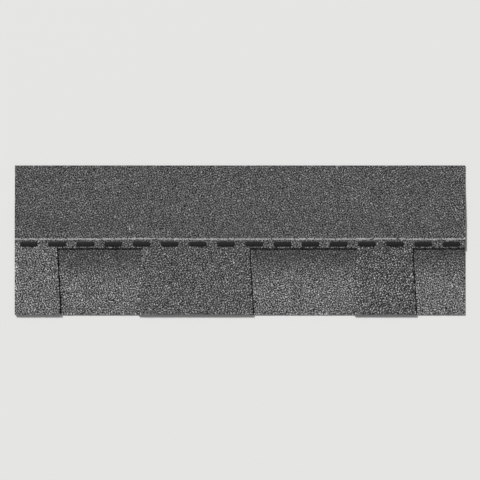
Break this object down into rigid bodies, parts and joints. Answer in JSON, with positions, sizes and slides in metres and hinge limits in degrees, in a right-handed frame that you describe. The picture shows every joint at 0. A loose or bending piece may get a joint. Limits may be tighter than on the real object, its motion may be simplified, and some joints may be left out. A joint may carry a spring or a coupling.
{
  "type": "laminated asphalt shingle",
  "caption": "Roofing shingle of two bonded granule-surfaced asphalt sheets, with dragon-tooth cut-outs along its butt edge, seal dashes and a release film.",
  "frame": {"origin": "on the floor, under the middle of the shingle's length and width", "axes": "+X along the shingle, +Y up the slope from the butt edge to the top edge, +Z out of the weathered granule face"},
  "size_m": [1.016, 0.3364, 0.0063],
  "materials": {
    "granule_sheet": "ceramic-coated grey mineral granules bedded in asphalt, matt, with a sanded back",
    "backer_sheet": "grey mineral granules with a darker shadow band along the top of each cut-out, sanded back",
    "asphalt_adhesive": "black laminating asphalt",
    "seal_asphalt": "black modified asphalt, slightly glossy",
    "film": "thin clear polyester film over the dark back"
  },
  "bodies": {
    "root": {"dragon_tooth_layer": "granule_sheet", "backer_strip": "backer_sheet", "laminating_adhesive": "asphalt_adhesive", "seal_strip": "seal_asphalt", "release_film": "film"}
  },
  "joints": []
}
